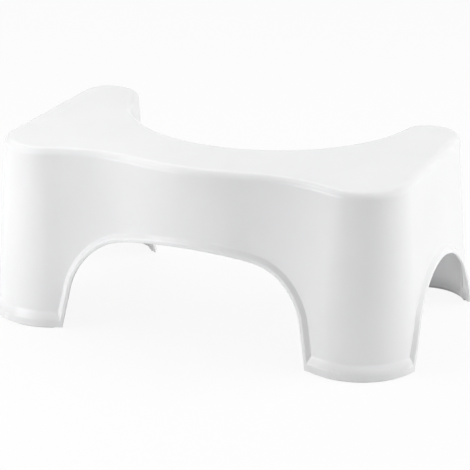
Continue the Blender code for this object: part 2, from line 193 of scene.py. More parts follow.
class GrowingTree(Tree):
    """Geometry Nodes tree with named inputs, baked into a plain mesh."""

    def __init__(
        self, name: str, numbers: Sequence[str], others: dict[str, str] | None = None
    ) -> None:
        """Start a tree with geometry in and out, and with named inputs.

        Args:
            name: Name of the tree.
            numbers: Names of the inputs that are plain numbers.
            others: Kind of each input of another kind; a material always comes last.
        """
        super().__init__(bpy.data.node_groups.new(name, "GeometryNodeTree"))
        kinds = {"Geometry": "Geometry", **dict.fromkeys(numbers, "Float")}
        kinds |= {**(others or {}), "Material": "Material"}
        new_socket = self.nodes.interface.new_socket
        for label, kind in kinds.items():
            new_socket(label, in_out="INPUT", socket_type=f"NodeSocket{kind}")
        new_socket("Geometry", in_out="OUTPUT", socket_type="NodeSocketGeometry")
        self.entry = self.add("NodeGroupInput")

    def given(self, label: str) -> Value:
        """Named input of the tree."""
        return self.out(self.entry, label)

    def attribute(self, label: str, kind: str = "FLOAT") -> Value:
        """Attribute that the mesh brings along."""
        settings, inputs = {"data_type": kind}, {"Name": label}
        return self.made("GeometryNodeInputNamedAttribute", settings, inputs)

    def smooth(self, geometry: Value) -> Value:
        """Geometry with its faces shaded smooth."""
        settings, inputs = {"domain": "FACE"}, {"Geometry": geometry}
        return self.made("GeometryNodeSetShadeSmooth", settings, inputs)

    def outlined(self, shape: str, inputs: dict[str, Value | float]) -> Value:
        """Section with four corners."""
        return self.made("GeometryNodeCurvePrimitiveQuadrilateral", {"mode": shape}, inputs)

    def eased(self, section: Value, steps: int, radius: Value | float) -> Value:
        """Section with its corners rounded."""
        inputs = {"Curve": section, "Count": steps, "Radius": radius, "Limit Radius": True}
        return self.made("GeometryNodeFilletCurve", {"mode": "POLY"}, inputs)

    def sweep(self, line: Value, section: Value) -> Value:
        """Solid with a section that stays upright along a line.

        Args:
            line: Curve that the solid follows.
            section: Closed curve of its section.

        Returns:
            The solid.
        """
        upright = self.made("GeometryNodeSetCurveNormal", {"mode": "Z_UP"}, {"Curve": line})
        inputs = {"Curve": upright, "Profile Curve": section, "Fill Caps": True}
        return self.made("GeometryNodeCurveToMesh", None, inputs)

    def close(self, geometry: Value) -> None:
        """End the tree with real geometry that has its material.

        Args:
            geometry: What the tree has made.
        """
        real = self.made("GeometryNodeRealizeInstances", None, {"Geometry": geometry})
        inputs = {"Geometry": real, "Material": self.given("Material")}
        dressed = self.made("GeometryNodeSetMaterial", None, inputs)
        self.add("NodeGroupOutput", None, {"Geometry": dressed})

    def bake(self, name: str, mesh: bpy.types.Mesh, values: dict[str, object]) -> bpy.types.Object:
        """Run the tree on a mesh and keep the result as a plain mesh.

        Args:
            name: Name of the new piece.
            mesh: Mesh that the tree starts from.
            values: Values of the named inputs.

        Returns:
            The piece, at the origin and without a modifier.
        """
        piece = placed(name, mesh)
        modifier = piece.modifiers.new(self.nodes.name, "NODES")
        modifier.node_group = self.nodes
        for item in self.nodes.interface.items_tree:
            if item.in_out == "INPUT" and item.name in values:
                modifier[item.identifier] = values[item.name]
        graph = bpy.context.evaluated_depsgraph_get()
        baked = bpy.data.meshes.new_from_object(piece.evaluated_get(graph), depsgraph=graph)
        piece.modifiers.remove(modifier)
        piece.data = baked
        baked.name = name
        return piece


class Finish:
    """Common start of every finish: a material with one Principled shader.

    A finish gives each noise by its cells a metre and its detail, and each range by the values
    between which a smooth step rises.
    """

    def start(self, name: str, fixed: dict[str, object]) -> tuple[bpy.types.Material, Tree]:
        """Make the material and set what is the same all over it.

        Args:
            name: Name of the material.
            fixed: Values of the shader's own sockets.

        Returns:
            The material, and its tree.
        """
        material = bpy.data.materials.new(name)
        material.use_nodes = True
        shader = material.node_tree.nodes["Principled BSDF"]
        for label, value in fixed.items():
            shader.inputs[label].default_value = value
        return material, Tree(material.node_tree)

    def feed(self, tree: Tree, links: dict[str, Value]) -> None:
        """Link what changes over the surface to the shader.

        Args:
            tree: Tree of the material.
            links: Value for each socket of the shader, by its name.
        """
        shader = tree.nodes.nodes["Principled BSDF"]
        for label, value in links.items():
            tree.nodes.links.new(value.socket, shader.inputs[label])

    def place(self, tree: Tree) -> Value:
        """Place on the piece, in metres."""
        return tree.made("ShaderNodeTexCoord", name="Object")

    def level(self, tree: Tree, place: Value) -> Value:
        """Height of a place above the floor."""
        return tree.made("ShaderNodeSeparateXYZ", None, {0: place}, name="Z")


@dataclass(frozen=True)
class GlossyPolypropylene(Finish):
    """White injection-moulded plastic: a polished mould's gloss with a faint grain and scuffs."""

    light: Colour = (0.885, 0.887, 0.893, 1)
    shade: Colour = (0.862, 0.865, 0.874, 1)
    scuffed: Colour = (0.80, 0.80, 0.80, 1)
    refraction: float = 1.49
    specular: float = 0.5
    glow: float = 0.5
    glow_depth: float = 0.004
    cloud: Span = (11.0, 3.0)
    cloud_range: Span = (0.3, 0.7)
    peel: Span = (240.0, 1.0)
    grain: Span = (1700.0, 2.0)
    patches: Span = (90.0, 4.0)
    patch_range: Span = (0.48, 0.72)
    scuff_height: float = 0.012
    sole_scuff: float = 0.6
    edge_scuff: float = 0.5
    scuff_tint: float = 0.35
    gloss: float = 0.17
    cloud_dulling: float = 0.05
    grain_dulling: float = 0.04
    scuff_dulling: float = 0.2
    grain_share: float = 0.25
    bump_strength: float = 0.05
    bump_depth: float = 0.0006

    def material(self) -> bpy.types.Material:
        """Build the material.

        Returns:
            The material.
        """
        fixed = {
            "IOR": self.refraction,
            "Specular IOR Level": self.specular,
            "Subsurface Weight": self.glow,
            "Subsurface Radius": (1, 1, 1),
            "Subsurface Scale": self.glow_depth,
        }
        material, tree = self.start("glossy white polypropylene", fixed)
        place = self.place(tree)
        noises = (self.cloud, self.peel, self.grain, self.patches)
        cloud, peel, grain, patches = (tree.noise(place, *noise) for noise in noises)
        worn = tree.made("ShaderNodeAttribute", {"attribute_name": "edge_wear"}, name="Fac")
        low = 1 - tree.ramp(self.level(tree, place), 0.0, self.scuff_height)
        scuff = low * self.sole_scuff + worn * self.edge_scuff
        scuff = scuff * tree.ramp(patches, *self.patch_range)
        colour = tree.blend(tree.ramp(cloud, *self.cloud_range), self.shade, self.light)
        colour = tree.blend(scuff * self.scuff_tint, colour, self.scuffed)
        roughness = self.gloss + cloud * self.cloud_dulling + grain * self.grain_dulling
        roughness = roughness + scuff * self.scuff_dulling
        height = peel * (1 - self.grain_share) + grain * self.grain_share
        normal = tree.bump(height, self.bump_strength, self.bump_depth)
        self.feed(tree, {"Base Color": colour, "Roughness": roughness, "Normal": normal})
        return material


@dataclass(frozen=True)
class MattRubber(Finish):
    """Pale grip rubber: matt, finely grained, a little dusty where it touches the floor."""

    light: Colour = (0.72, 0.72, 0.73, 1)
    shade: Colour = (0.64, 0.64, 0.65, 1)
    dust: Colour = (0.52, 0.50, 0.47, 1)
    refraction: float = 1.45
    specular: float = 0.35
    mottle: Span = (70.0, 4.0)
    mottle_range: Span = (0.3, 0.7)
    grain: Span = (2400.0, 2.0)
    dust_height: float = 0.0009
    dust_range: Span = (0.35, 0.65)
    dust_tint: float = 0.6
    roughness: float = 0.52
    grain_dulling: float = 0.18
    dust_dulling: float = 0.15
    bump_strength: float = 0.35
    bump_depth: float = 0.0003

    def material(self) -> bpy.types.Material:
        """Build the material.

        Returns:
            The material.
        """
        fixed = {"IOR": self.refraction, "Specular IOR Level": self.specular}
        material, tree = self.start("pale grip rubber", fixed)
        place = self.place(tree)
        mottle, grain = tree.noise(place, *self.mottle), tree.noise(place, *self.grain)
        low = 1 - tree.ramp(self.level(tree, place), 0.0, self.dust_height)
        dusty = low * tree.ramp(mottle, *self.dust_range)
        colour = tree.blend(tree.ramp(mottle, *self.mottle_range), self.shade, self.light)
        colour = tree.blend(dusty * self.dust_tint, colour, self.dust)
        roughness = self.roughness + grain * self.grain_dulling + dusty * self.dust_dulling
        normal = tree.bump(grain, self.bump_strength, self.bump_depth)
        self.feed(tree, {"Base Color": colour, "Roughness": roughness, "Normal": normal})
        return material


@dataclass(frozen=True)
class PaleFloor:
    """Seamless white studio floor that still takes the stool's shadow."""

    light: Colour = (0.88, 0.88, 0.88, 1)
    shade: Colour = (0.8712, 0.8712, 0.8712, 1)
    mottle: Span = (6.0, 2.0)
    mottle_range: Span = (0.2, 0.8)
    shown_white: float = 0.9

    def material(self) -> bpy.types.Material:
        """Build the material.

        Returns:
            The material, seen mostly as plain white, and clear from below.
        """
        material = bpy.data.materials.new("pale studio floor")
        material.use_nodes = True
        tree = Tree(material.node_tree)
        tree.nodes.nodes.clear()
        place = tree.made("ShaderNodeTexCoord", name="Object")
        mottle = tree.ramp(tree.noise(place, *self.mottle), *self.mottle_range)
        tint = tree.blend(mottle, self.light, self.shade)
        matt = tree.made("ShaderNodeBsdfDiffuse", None, {"Color": tint})
        white = tree.made("ShaderNodeEmission", None, {"Color": WHITE, "Strength": 1.0})
        clear = tree.made("ShaderNodeBsdfTransparent")
        back = tree.made("ShaderNodeNewGeometry", name="Backfacing")
        top = tree.mixed(tree.seen() * self.shown_white, matt, white)
        surface = tree.mixed(back * tree.ray("Is Camera Ray"), top, clear)
        tree.add("ShaderNodeOutputMaterial", None, {"Surface": surface})
        return material


def placed(name: str, data: bpy.types.ID) -> bpy.types.Object:
    """Make an object and put it in the scene.

    Args:
        name: Name of the object.
        data: Mesh, lamp or camera that it holds.

    Returns:
        The object.
    """
    thing = bpy.data.objects.new(name, data)
    bpy.context.scene.collection.objects.link(thing)
    return thing


def quads(rows: int, count: int, closed: bool = False) -> list[tuple[int, int, int, int]]:
    """Faces between rows of points, each of them as long.

    Args:
        rows: Number of rows.
        count: Number of points in a row.
        closed: Whether the last point of a row is joined to its first.

    Returns:
        The faces, turned from the first row to the next.
    """
    faces = []
    for low in range(0, (rows - 1) * count, count):
        high = low + count
        for place in range(count if closed else count - 1):
            after = (place + 1) % count
            faces.append((low + place, low + after, high + after, high + place))
    return faces


def bisect(function: Callable, low: Amount, high: Amount) -> np.ndarray:
    """Find where steadily rising or falling functions are zero.

    Args:
        function: Takes an array of places and returns as many values.
        low: Lowest places.
        high: Highest places.

    Returns:
        The places where the values are zero.
    """
    low, high = np.array(low, float), np.array(high, float)
    rising = function(high) > function(low)
    for _ in range(HALVINGS):
        middle = (low + high) / 2
        above = (function(middle) > 0) == rising
        low, high = np.where(above, low, middle), np.where(above, middle, high)
    return (low + high) / 2


def angle_of(step: np.ndarray) -> float:
    """Direction of a plan vector."""
    return atan2(step[1], step[0])


def unwrapped(angle: float, above: float) -> float:
    """Bring an angle to the first turn above a given one.

    Args:
        angle: Angle that may be some turns too low.
        above: Angle that the result isn't under.

    Returns:
        The angle with whole turns added.
    """
    while angle < above:
        angle += 2 * pi
    return angle


class Stretch:
    """Stretch of the outline, an arc, or a straight line where its radius is zero."""

    def __init__(self, start: np.ndarray, radius: float, begin: float, end: float) -> None:
        """Keep an arc by its centre, radius and angles, or a line by its start and course.

        Args:
            start: Centre of the arc, or start of the line.
            radius: Radius, or 0 for a line.
            begin: First angle of the arc, or the line's direction.
            end: Last angle of the arc, or the line's length.
        """
        self.start = start
        self.radius = radius
        self.begin = begin
        self.turn = end - begin if radius else 0.0
        self.length = radius * abs(self.turn) if radius else end

    def at(self, along: np.ndarray) -> tuple[np.ndarray, np.ndarray, np.ndarray]:
        """Work out places along the stretch.

        Args:
            along: Lengths from the start of the stretch.

        Returns:
            Points, outward normals, and angles turned since the start.
        """
        if not self.radius:
            tangent = np.array([cos(self.begin), sin(self.begin)])
            normals = np.tile([tangent[1], -tangent[0]], (len(along), 1))
            return self.start + along[:, None] * tangent, normals, np.zeros(len(along))
        turned = self.turn * along / self.length
        ray = np.stack([np.cos(self.begin + turned), np.sin(self.begin + turned)], -1)
        return self.start + ray * self.radius, ray * np.sign(self.turn), turned


@dataclass
class DeckOutline:
    """Right half of the deck outline: arcs that touch, from the front's centre to the bowl's."""

    length: float = 0.3938
    depth: float = 0.2158
    waist: float = 0.0743
    belly_radius: float = 0.203
    belly_set_back: float = 0.0029
    recess_radius: float = 0.1387
    leg_radius: float = 0.0438
    side_taper: float = 0.0022
    rear_corner_radius: float = 0.0279
    tip_radius: float = 0.0189
    tip_set_back: float = 0.0024
    bowl_radius: float = 0.1414
    stretches: list[Stretch] = field(init=False)

    def __post_init__(self) -> None:
        """Work out the chain of stretches."""
        front = -self.depth / 2 + self.belly_set_back
        belly = np.array([0, front + self.belly_radius])
        leg = np.array([self.length / 2 - self.leg_radius, -self.depth / 2 + self.leg_radius])
        recess = self.hollow_centre(belly, leg)
        rear = np.array([self.length / 2 - self.side_taper, self.depth / 2])
        rear = rear - self.rear_corner_radius
        bowl = np.array([0, front + self.waist + self.bowl_radius])
        tip_y = self.depth / 2 - self.tip_set_back - self.tip_radius
        span = self.bowl_radius + self.tip_radius
        tip = np.array([sqrt(span**2 - (tip_y - bowl[1]) ** 2), tip_y])
        side = self.bridge(leg, self.leg_radius, rear, self.rear_corner_radius)
        back = unwrapped(self.bridge(rear, self.rear_corner_radius, tip, self.tip_radius), side)
        tip_end = unwrapped(angle_of(bowl - tip), back)
        hollow_start = unwrapped(angle_of(belly - recess), 0)
        self.stretches = [
            Stretch(belly, self.belly_radius, -pi / 2, angle_of(recess - belly)),
            Stretch(recess, self.recess_radius, hollow_start, angle_of(leg - recess)),
            Stretch(leg, self.leg_radius, angle_of(recess - leg), side),
            self.line(leg, self.leg_radius, rear, self.rear_corner_radius, side),
            Stretch(rear, self.rear_corner_radius, side, back),
            self.line(rear, self.rear_corner_radius, tip, self.tip_radius, back),
            Stretch(tip, self.tip_radius, back, tip_end),
            Stretch(bowl, self.bowl_radius, angle_of(tip - bowl), -pi / 2),
        ]
        lengths = [stretch.length for stretch in self.stretches]
        turns = [stretch.turn for stretch in self.stretches]
        self.starts = np.concatenate([[0], np.cumsum(lengths)])
        self.turned = np.concatenate([[0], np.cumsum(turns)])
        # The side starts with the fourth stretch, and the back with the sixth
        self.side_start, self.back_start, self.end = self.starts[[3, 5, -1]]

    def hollow_centre(self, belly: np.ndarray, leg: np.ndarray) -> np.ndarray:
        """Find the centre of the front recess.

        Args:
            belly: Centre of the belly.
            leg: Centre of the front leg's corner.

        Returns:
            The centre of an arc that touches both from outside.
        """
        near = self.belly_radius + self.recess_radius
        far = self.leg_radius + self.recess_radius
        step = leg - belly
        size = hypot(*step)
        along = (near * near - far * far + size * size) / (2 * size)
        aside = sqrt(near * near - along * along)
        ahead = step / size
        return belly + ahead * along + np.array([ahead[1], -ahead[0]]) * aside

    def bridge(self, first: np.ndarray, near: float, second: np.ndarray, far: float) -> float:
        """Find the line that touches two bulges from outside.

        Args:
            first: Centre of the first bulge.
            near: Its radius.
            second: Centre of the second bulge.
            far: Its radius.

        Returns:
            The direction square to the line.
        """
        step = second - first
        swing = (near - far) / hypot(*step)
        return angle_of(step) - pi / 2 + atan2(swing, sqrt(1 - swing * swing))

    def line(
        self, first: np.ndarray, near: float, second: np.ndarray, far: float, normal: float
    ) -> Stretch:
        """Draw the line that touches two bulges.

        Args:
            first: Centre of the first bulge.
            near: Its radius.
            second: Centre of the second bulge.
            far: Its radius.
            normal: Direction square to the line.

        Returns:
            The stretch.
        """
        ray = np.array([cos(normal), sin(normal)])
        start, end = first + ray * near, second + ray * far
        return Stretch(start, 0.0, angle_of(end - start), hypot(*(end - start)))

    def at(self, along: np.ndarray) -> tuple[np.ndarray, np.ndarray, np.ndarray]:
        """Work out places along the outline.

        Args:
            along: Lengths from the front's centre.

        Returns:
            Points, outward normals, and angles turned since the centre.
        """
        along = np.asarray(along, float)
        count, last = len(along), len(self.stretches) - 1
        points, normals, turned = np.empty((count, 2)), np.empty((count, 2)), np.empty(count)
        index = np.clip(np.searchsorted(self.starts, along, side="right") - 1, 0, last)
        for number, stretch in enumerate(self.stretches):
            here = index == number
            points[here], normals[here], own = stretch.at(along[here] - self.starts[number])
            turned[here] = self.turned[number] + own
        return points, normals, turned


@dataclass
class DraftedWall:
    """Wall that hangs from the deck outline with a draft, so it grows towards the floor."""

    outline: DeckOutline = field(default_factory=DeckOutline)
    height: float = 0.170
    draft: float = radians(4.2)

    def reach(self, level: Amount, rise: Amount) -> np.ndarray:
        """How far the wall stands outside the deck outline at a level."""
        return (self.height - level) * tan(self.draft) + rise

    def point(self, along: np.ndarray, level: np.ndarray, rise: float) -> np.ndarray:
        """Points of the wall in plan, pushed out by a rise."""
        points, normals, _ = self.outline.at(along)
        return points + normals * (self.reach(level, rise) * np.ones(len(points)))[:, None]

    def run(self, along: np.ndarray, level: np.ndarray, rise: float) -> np.ndarray:
        """Real lengths along the wall, from the front centre."""
        return along + self.reach(level, rise) * self.outline.at(along)[2]

    def moved(self, places: Places, across: np.ndarray, up: np.ndarray, rise: float) -> Places:
        """Places on the wall moved by real lengths.

        Args:
            places: Lengths along the outline, and levels.
            across: Lengths to move along the wall.
            up: Lengths to move up the wall.
            rise: How far the surface stands outside the plain wall.

        Returns:
            The moved places.
        """
        level = places[1] + up
        goal = self.run(places[0], level, rise) + across
        full = np.full(len(goal), self.outline.end)
        return bisect(lambda a: self.run(a, level, rise) - goal, 0 * full, full), level


@dataclass
class HalfArch:
    """One side of an arch: a crown arc, a corner arc and a leaning leg line to the floor."""

    reach: float
    height: float
    lean: float
    corner_radius: float
    corner_drop: float

    def __post_init__(self) -> None:
        """Work out the arcs."""
        level = self.height - self.corner_drop - self.corner_radius
        aside = self.reach - level * tan(self.lean) - self.corner_radius / cos(self.lean)
        self.corner = np.array([aside, level])
        spread = aside**2 + self.corner_drop**2
        self.crown_radius = self.corner_radius + spread / (2 * self.corner_drop)
        self.crown = np.array([0, self.height - self.crown_radius])
        self.corner_end = angle_of(self.corner - self.crown)
        self.lean_top = level + self.corner_radius * sin(self.lean)

    def level(self, aside: np.ndarray) -> np.ndarray:
        """Work out the line of the arch.

        Args:
            aside: Distances from the crown.

        Returns:
            The height at each distance.
        """
        aside = np.abs(aside)
        shoulder = self.corner[0] + self.corner_radius * cos(self.corner_end)
        off = aside - self.corner[0]
        crown = self.crown[1] + np.sqrt(np.maximum(self.crown_radius**2 - aside**2, 0))
        corner = self.corner[1] + np.sqrt(np.maximum(self.corner_radius**2 - off**2, 0))
        leg = (self.reach - aside) / tan(self.lean)
        below = np.where(off < self.corner_radius * cos(self.lean), corner, leg)
        return np.where(aside <= shoulder, crown, below)

    def leg(self, level: Amount) -> np.ndarray:
        """Distances of the leg line from the crown at levels."""
        return self.reach - level * tan(self.lean)

    def points(self, steps: tuple[int, int, int], foot_top: float, sole: float) -> np.ndarray:
        """Points from the crown down to the sole.

        Args:
            steps: Steps of the crown, of the corner and of the leg line.
            foot_top: Level above which the rim runs straight on.
            sole: Level of the sole.

        Returns:
            Pairs of distance from the crown and level.
        """
        crown = np.linspace(pi / 2, self.corner_end, steps[0], endpoint=False)
        corner = np.linspace(self.corner_end, self.lean, steps[1], endpoint=False)
        levels = np.append(np.linspace(self.lean_top, foot_top, steps[2] + 1), sole)
        return np.concatenate([
            self.crown + self.crown_radius * np.stack([np.cos(crown), np.sin(crown)], -1),
            self.corner + self.corner_radius * np.stack([np.cos(corner), np.sin(corner)], -1),
            np.stack([self.leg(levels), levels], -1),
        ])


@dataclass
class Rim:
    """Sizes of the flared rim along the free edges: a band, and a shoulder back to the wall."""

    rise: float = 0.00385
    arch_band: float = 0.0036
    arch_shoulder: float = 0.0034
    foot_band: float = 0.0069
    foot_shoulder: float = 0.0072
    edge_ease: float = 0.0009
    inner_ease: float = 0.0006
    crease_ease: float = 0.0006
    foot_crease_ease: float = 0.0010


@dataclass
class Channel:
    """Sizes of the channel in a sole, between the outer wall and a lip, and of its grip strip."""

    sole: float = 0.0012
    strip_width: float = 0.0027
    strip_ease: float = 0.0004
    depth: float = 0.008
    wall: float = 0.0024
    lip: float = 0.0015
    lip_ramp: float = 0.006
    end_wall: float = 0.0018
    lip_raise: float = 0.0015
    gap: float = 0.0003

    @property
    def inset(self) -> float:
        """How far from the end of a foot its channel starts."""
        return self.lip_ramp + self.end_wall

    @property
    def strip_height(self) -> float:
        """Height of the grip strip, from the floor up into the channel."""
        return self.sole + self.depth - self.gap


@dataclass
class FreeEdge:
    """Free edge of the wall on the right half: arches and feet, and the rows of its rim."""

    wall: DraftedWall = field(default_factory=DraftedWall)
    rim: Rim = field(default_factory=Rim)
    channel: Channel = field(default_factory=Channel)
    front_arch: HalfArch = field(
        default_factory=lambda: HalfArch(
            reach=0.1206, height=0.098, lean=radians(10.4), corner_radius=0.0635, corner_drop=0.0061
        )
    )
    side_ahead: HalfArch = field(
        default_factory=lambda: HalfArch(
            reach=0.0858, height=0.0777, lean=radians(23.6), corner_radius=0.029, corner_drop=0.0188
        )
    )
    side_behind: HalfArch = field(
        default_factory=lambda: HalfArch(
            reach=0.0904, height=0.0777, lean=radians(28.6), corner_radius=0.029, corner_drop=0.0188
        )
    )
    side_crown: float = 0.0056
    blend: float = 0.016
    front_steps: tuple[int, int, int] = (18, 26, 8)
    side_steps: tuple[int, int, int] = (10, 14, 5)
    foot_pitch: float = 0.0026
    foot_start: tuple[float, ...] = (0.0007, 0.002, 0.004)
    mouth_step: float = 0.00005
    rear_steps: int = 84
    mitre_shares: tuple[float, ...] = (0.06, 0.5)

    def __post_init__(self) -> None:
        """Work out the level above which the rim no longer belongs to a foot."""
        self.foot_shoulder_level = self.channel.sole + self.rim.foot_band + self.rim.foot_shoulder
        self.foot_top = self.foot_shoulder_level + self.rim.arch_band

    def bowl_level(self, points: np.ndarray) -> np.ndarray:
        """Take the higher of the two arches, with a smooth change, as the bowl wall's lower edge.

        Args:
            points: Points of the wall in plan.

        Returns:
            The level of the edge at each point.
        """
        past = points[:, 1] - self.side_crown
        side = np.where(past > 0, self.side_behind.level(past), self.side_ahead.level(past))
        front = self.front_arch.level(points[:, 0])
        blend = np.maximum(self.blend - np.abs(side - front), 0) / self.blend
        return np.maximum(side, front) + blend * blend * self.blend / 4

    def along_where(
        self, goal: np.ndarray, level: np.ndarray, rise: float, axis: int, low: float, high: float
    ) -> np.ndarray:
        """Lengths along the outline, from low to high, where the wall crosses planes of an axis."""
        ends = np.full(len(goal), low), np.full(len(goal), high)
        return bisect(lambda a: self.wall.point(a, level, rise)[:, axis] - goal, *ends)

    def front(self) -> Places:
        """Free edge of the front wall, from its centre to the front foot.

        Returns:
            The edge's places.
        """
        points = self.front_arch.points(self.front_steps, self.foot_top, self.channel.sole)
        aside, level = points.T
        end = self.wall.outline.side_start
        along = self.along_where(aside, level, self.rim.rise, 0, 0, end)
        along[0] = 0
        return along, level

    def side(self, rise: float) -> Places:
        """Free edge of the side wall, from the front foot over the crown to the rear foot.

        Args:
            rise: How far the surface stands outside the plain wall.

        Returns:
            The edge's places.
        """
        ahead = self.side_ahead.points(self.side_steps, self.foot_top, self.channel.sole)
        behind = self.side_behind.points(self.side_steps, self.foot_top, self.channel.sole)
        profile = np.concatenate([ahead[::-1] * [-1, 1], behind[1:]])
        aside, level = profile.T
        outline, reach = self.wall.outline, np.array([self.front_arch.reach])
        start = self.along_where(reach, np.zeros(1), 0, 0, 0, outline.side_start)[0]
        goal = self.side_crown + aside
        return self.along_where(goal, level, rise, 1, start, outline.back_start), level

    def rear(self, rise: float) -> Places:
        """Free edge of the bowl wall, from the rear foot up to its centre.

        Args:
            rise: How far the surface stands outside the plain wall.

        Returns:
            The edge's places.
        """
        outline = self.wall.outline
        feet = np.array([self.channel.sole, self.foot_top])
        goal = self.side_crown + self.side_behind.leg(feet)
        first = self.along_where(goal, feet, rise, 1, outline.back_start, outline.end)
        share = np.arange(1, self.rear_steps + 1) / self.rear_steps
        along = first[1] + (outline.end - first[1]) * share * (1 + share) / 2
        full = np.full(len(along), self.wall.height)
        level = bisect(
            lambda z: self.bowl_level(self.wall.point(along, z, rise)) - z, 0 * full, full
        )
        return np.concatenate([first, along]), np.concatenate([feet, level])

    def offset(
        self, edge: Places, width: float, mitres: Sequence[int], goal: float, rise: float
    ) -> Places:
        """Free edge moved into the wall, with its foot ends mitred.

        Args:
            edge: Places of the edge.
            width: Width to move by, square to the edge.
            mitres: Numbers of the places at a foot.
            goal: Level that the foot ends reach.
            rise: How far the surface stands outside the plain wall.

        Returns:
            The moved places.
        """
        along, level = edge
        number = np.arange(len(along))
        before, after = np.maximum(number - 1, 0), np.minimum(number + 1, len(along) - 1)
        run = self.wall.run
        across = run(along[after], level, rise) - run(along[before], level, rise)
        up = level[after] - level[before]
        size = np.hypot(across, up)
        across, up = across / size, up / size
        step_across, step_up = -up * width, across * width
        for place in np.array(mitres) % len(along):
            slide = (goal - level[place] - across[place] * width) / up[place]
            step_across[place] = across[place] * slide - up[place] * width
            step_up[place] = goal - level[place]
        moved = self.wall.moved(edge, step_across, step_up, rise)
        for place, end in ((0, 0), (-1, self.wall.outline.end)):
            if along[place] == end:
                moved[0][place], moved[1][place] = end, level[place] + width
        return moved

    def eased(self, edge: Places, gaps: Sequence[int]) -> Places:
        """Edge with extra places in the gap beside each mitre, close to it and halfway.

        Args:
            edge: Places of the edge.
            gaps: Numbers of the places at the mitres, the first or the last of the edge.

        Returns:
            The edge with the extra places.
        """
        along, level = edge
        for gap in gaps:
            shares = np.array(self.mitre_shares)
            if gap == 0:
                extra = [row[0] + (row[1] - row[0]) * shares for row in (along, level)]
                along, level = np.insert(along, 1, extra[0]), np.insert(level, 1, extra[1])
            else:
                extra = [row[-1] + (row[-2] - row[-1]) * shares[::-1] for row in (along, level)]
                along, level = np.insert(along, -1, extra[0]), np.insert(level, -1, extra[1])
        return along, level

    def foot_places(self) -> list[tuple[np.ndarray, float]]:
        """Shares of each foot's length at which its places lie, and that length.

        Returns:
            For the front and the rear foot, shares that are closer near the ends, and the length.
        """
        rise, result = self.rim.rise, []
        edges = [self.front(), self.side(rise), self.rear(rise)]
        ramp, mouth = self.channel.lip_ramp, self.channel.inset
        near = np.array([*self.foot_start, ramp, mouth - self.mouth_step, mouth])
        for before, after in zip(edges, edges[1:]):
            ends = np.array([before[0][-1], after[0][0]])
            run = self.wall.run(ends, np.full(2, self.channel.sole), rise)
            length = float(run[1] - run[0])
            steps = round((length - 2 * mouth) / self.foot_pitch)
            middle = np.linspace(mouth, length - mouth, steps + 1)[1:-1]
            result.append((np.concatenate([near, middle, length - near[::-1]]) / length, length))
        return result

    def contours(self, rise: float) -> tuple[list[Places], np.ndarray]:
        """Free edge, band line and shoulder line, and what part of the rim each place is in.

        Args:
            rise: How far the free edge stands outside the plain wall.

        Returns:
            The three runs of places, and how far into a foot each place is, or -1 in an arch.
        """
        rim, sole = self.rim, self.channel.sole
        edges = [self.front(), self.side(rise), self.rear(rise)]
        mitres = [(-1,), (0, -1), (0,)]
        runs = []
        for width, goal in (
            (0.0, sole),
            (rim.arch_band, sole + rim.foot_band),
            (rim.arch_band + rim.arch_shoulder, self.foot_shoulder_level),
        ):
            moved = edges
            if width:
                moved = [self.offset(e, width, m, goal, rise) for e, m in zip(edges, mitres)]
            runs.append([self.eased(e, m) for e, m in zip(moved, mitres)])
        feet = self.foot_places()
        result = []
        for run in runs:
            parts = [run[0]]
            for start, end, (share, _) in zip(run, run[1:], feet):
                along = start[0][-1] + (end[0][0] - start[0][-1]) * share
                parts += [(along, np.full(len(along), start[1][-1])), end]
            result.append(tuple(np.concatenate([part[axis] for part in parts]) for axis in (0, 1)))
        inside = []
        for run, (share, length) in zip(runs[0], feet):
            inside += [np.full(len(run[0]), -1.0), np.minimum(share, 1 - share) * length]
        inside.append(np.full(len(runs[0][2][0]), -1.0))
        return result, np.concatenate(inside)


def rounded(
    nodes: np.ndarray, eases: np.ndarray, steps: Sequence[int], spacing: Sequence[Sequence[float]]
) -> list[np.ndarray]:
    """Rows of a section whose corners are rounded by arcs.

    Args:
        nodes: Corners of the section by places by three coordinates.
        eases: How far from each corner its arc starts, by places.
        steps: Steps of each corner's arc, 0 where it stays sharp.
        spacing: Shares at which each straight part between two corners has rows.

    Returns:
        The rows, each of them places by three coordinates.
    """
    rows = [nodes[0]]
    leave = nodes[0]
    for number in range(1, len(nodes)):
        corner = nodes[number]
        arc = [corner]
        if steps[number]:
            back, ahead = nodes[number - 1] - corner, nodes[number + 1] - corner
            back /= np.linalg.norm(back, axis=1)[:, None]
            ahead /= np.linalg.norm(ahead, axis=1)[:, None]
            ease = eases[number][:, None]
            middle = back + ahead
            middle /= np.linalg.norm(middle, axis=1)[:, None]
            centre = corner + middle * ease / (back * middle).sum(1)[:, None]
            enter, leaving = corner + back * ease - centre, corner + ahead * ease - centre
            size = np.linalg.norm(enter, axis=1) * np.linalg.norm(leaving, axis=1)
            swing = np.arccos(np.clip((enter * leaving).sum(1) / size, -1, 1))[:, None]
            arc = []
            for share in np.linspace(0, 1, steps[number] + 1):
                first, second = np.sin((1 - share) * swing), np.sin(share * swing)
                arc.append(centre + (first * enter + second * leaving) / np.sin(swing))
        rows += [leave + (arc[0] - leave) * share for share in spacing[number - 1]] + arc
        leave = arc[-1]
    return rows


